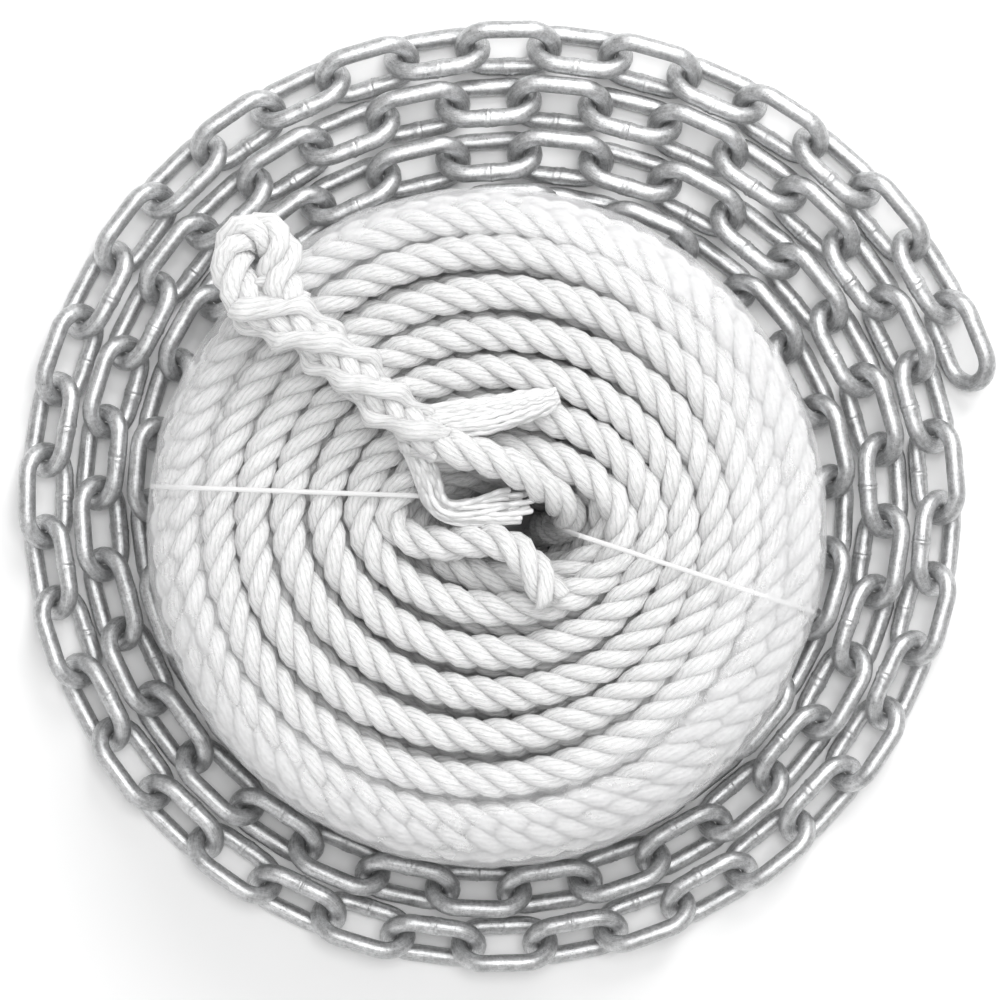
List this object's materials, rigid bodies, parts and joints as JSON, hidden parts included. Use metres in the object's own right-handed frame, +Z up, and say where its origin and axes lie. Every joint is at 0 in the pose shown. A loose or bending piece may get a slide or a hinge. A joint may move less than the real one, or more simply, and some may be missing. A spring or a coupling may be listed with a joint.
{
  "type": "anchor rode",
  "caption": "Anchor rode for a small boat: galvanised link chain coiled flat, with a film-wrapped coil of white laid rope and its spliced eye end on top.",
  "frame": {"origin": "middle of the overall outline, on the surface the chain lies on", "axes": "+Z up from the resting surface; +X towards the chain's free end link; +Y towards the side the eye end overhangs"},
  "size_m": [0.3874, 0.3772, 0.1468],
  "materials": {
    "galvanised_zinc": "hot-dip galvanised, satin, lightly mottled",
    "white_rope": "filament nylon, silky",
    "white_twine": "smooth",
    "clear_film": "clear glossy film"
  },
  "bodies": {
    "chain_coil": {"chain_run_01": "galvanised_zinc", "chain_run_02": "galvanised_zinc", "chain_run_03": "galvanised_zinc", "chain_run_04": "galvanised_zinc", "chain_run_05": "galvanised_zinc", "chain_run_06": "galvanised_zinc", "chain_run_07": "galvanised_zinc", "chain_run_08": "galvanised_zinc", "chain_run_09": "galvanised_zinc", "chain_run_10": "galvanised_zinc", "chain_run_11": "galvanised_zinc", "chain_run_12": "galvanised_zinc", "chain_run_13": "galvanised_zinc", "chain_run_14": "galvanised_zinc", "chain_run_15": "galvanised_zinc", "chain_run_16": "galvanised_zinc", "chain_run_17": "galvanised_zinc", "chain_run_18": "galvanised_zinc", "chain_run_19": "galvanised_zinc", "chain_run_20": "galvanised_zinc", "chain_run_21": "galvanised_zinc", "chain_run_22": "galvanised_zinc", "chain_run_23": "galvanised_zinc", "chain_run_24": "galvanised_zinc", "chain_run_25": "galvanised_zinc", "chain_run_26": "galvanised_zinc", "chain_run_27": "galvanised_zinc", "chain_run_28": "galvanised_zinc", "chain_run_29": "galvanised_zinc", "chain_inner_end_link": "galvanised_zinc"},
    "chain_link_01_body": {"chain_link_01": "galvanised_zinc"},
    "chain_link_02_body": {"chain_link_02": "galvanised_zinc"},
    "chain_link_03_body": {"chain_link_03": "galvanised_zinc"},
    "chain_link_04_body": {"chain_link_04": "galvanised_zinc"},
    "chain_link_05_body": {"chain_link_05": "galvanised_zinc"},
    "chain_link_06_body": {"chain_link_06": "galvanised_zinc"},
    "chain_link_07_body": {"chain_link_07": "galvanised_zinc"},
    "chain_link_08_body": {"chain_link_08": "galvanised_zinc"},
    "chain_link_09_body": {"chain_link_09": "galvanised_zinc"},
    "chain_link_10_body": {"chain_link_10": "galvanised_zinc"},
    "rope_hank": {"eye_splice": "white_rope", "film_wrap": "clear_film", "rope_coil": "white_rope", "rope_eye": "white_rope", "rope_inner_end": "white_rope", "rope_standing_part": "white_rope", "strand_tail_1": "white_rope", "strand_tail_2": "white_rope", "tie_twine_left": "white_twine", "tie_twine_right": "white_twine"}
  },
  "joints": [
    {"name": "link_01_swing", "type": "hinge", "parent": "chain_link_02_body", "child": "chain_link_01_body", "pos_m": [0.17472, 0.07525, 0.0105], "axis": [0, 0, 1], "range_deg": [0, 20]},
    {"name": "link_02_swing", "type": "hinge", "parent": "chain_link_03_body", "child": "chain_link_02_body", "pos_m": [0.1601, 0.09972, 0.0105], "axis": [0, 0, 1], "range_deg": [0, 20]},
    {"name": "link_03_swing", "type": "hinge", "parent": "chain_link_04_body", "child": "chain_link_03_body", "pos_m": [0.14185, 0.12161, 0.0105], "axis": [0, 0, 1], "range_deg": [0, 20]},
    {"name": "link_04_swing", "type": "hinge", "parent": "chain_link_05_body", "child": "chain_link_04_body", "pos_m": [0.12044, 0.14043, 0.0105], "axis": [0, 0, 1], "range_deg": [0, 20]},
    {"name": "link_05_swing", "type": "hinge", "parent": "chain_link_06_body", "child": "chain_link_05_body", "pos_m": [0.09643, 0.15578, 0.0105], "axis": [0, 0, 1], "range_deg": [0, 20]},
    {"name": "link_06_swing", "type": "hinge", "parent": "chain_link_07_body", "child": "chain_link_06_body", "pos_m": [0.07039, 0.16737, 0.0105], "axis": [0, 0, 1], "range_deg": [0, 20]},
    {"name": "link_07_swing", "type": "hinge", "parent": "chain_link_08_body", "child": "chain_link_07_body", "pos_m": [0.04293, 0.17499, 0.0105], "axis": [0, 0, 1], "range_deg": [0, 20]},
    {"name": "link_08_swing", "type": "hinge", "parent": "chain_link_09_body", "child": "chain_link_08_body", "pos_m": [0.01466, 0.17857, 0.0105], "axis": [0, 0, 1], "range_deg": [0, 20]},
    {"name": "link_09_swing", "type": "hinge", "parent": "chain_link_10_body", "child": "chain_link_09_body", "pos_m": [-0.01384, 0.17813, 0.0105], "axis": [0, 0, 1], "range_deg": [0, 20]},
    {"name": "link_10_swing", "type": "hinge", "parent": "chain_coil", "child": "chain_link_10_body", "pos_m": [-0.042, 0.17378, 0.0105], "axis": [0, 0, 1], "range_deg": [0, 20]},
    {"name": "rope_hank_lift", "type": "slide", "parent": "chain_coil", "child": "rope_hank", "axis": [0, 0, 1], "range_m": [0, 0.12]}
  ]
}
